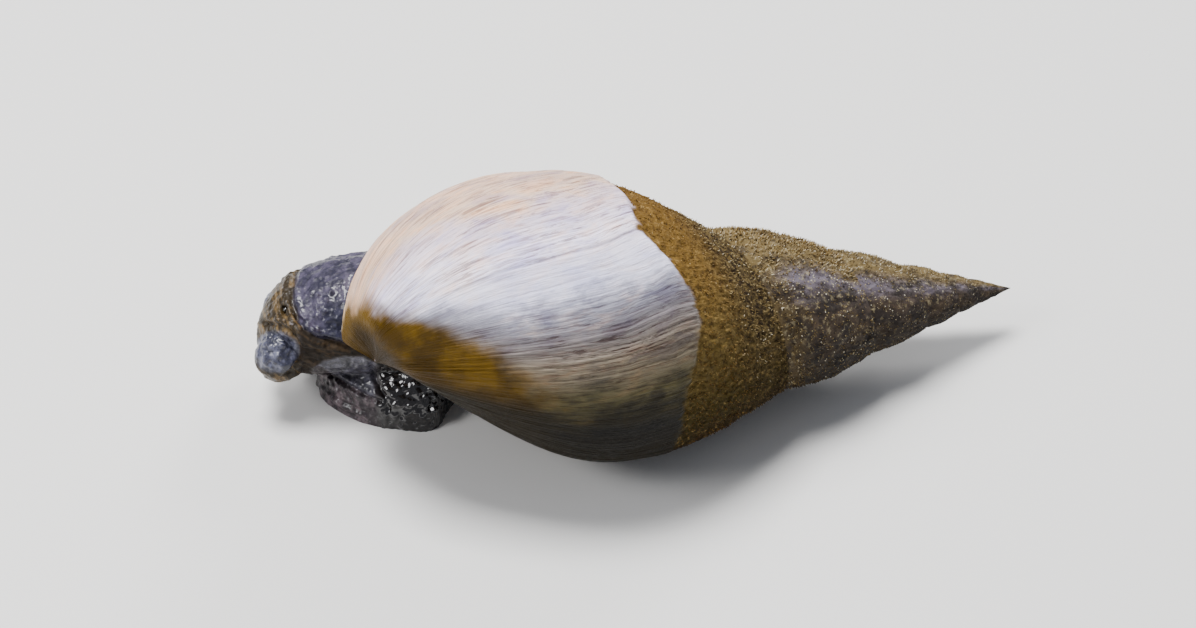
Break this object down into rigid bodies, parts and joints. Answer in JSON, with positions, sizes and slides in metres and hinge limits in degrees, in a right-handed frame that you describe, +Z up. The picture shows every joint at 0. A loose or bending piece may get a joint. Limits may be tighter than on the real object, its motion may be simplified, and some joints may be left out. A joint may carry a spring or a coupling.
{
  "type": "great pond snail, still life-size model",
  "caption": "Life-size great pond snail: tall pointed shell turning to the right, carried over a soft dark body with its head bent down, resting on its sole.",
  "frame": {"origin": "middle of the model's box, at floor level under the sole", "axes": "+X from the head towards the tip of the shell, +Y towards the animal's right side, +Z up"},
  "size_m": [0.056, 0.0226, 0.021],
  "materials": {
    "shell": "satin",
    "spire": "rough, crusted with fine growth",
    "skin": "wet gloss",
    "sole_skin": "wet gloss",
    "eye": "gloss"
  },
  "bodies": {
    "root": {"shell_last_whorl": "shell", "shell_second_whorl": "spire", "shell_third_whorl": "spire", "shell_tip": "spire", "foot_front": "sole_skin", "foot_middle": "sole_skin", "foot_tail": "sole_skin", "mantle": "skin", "neck": "skin", "head": "skin", "mouth_lobe_left": "skin", "mouth_lobe_right": "skin", "tentacle_left": "skin", "tentacle_right": "skin", "eye_left": "eye", "eye_right": "eye"}
  },
  "joints": []
}
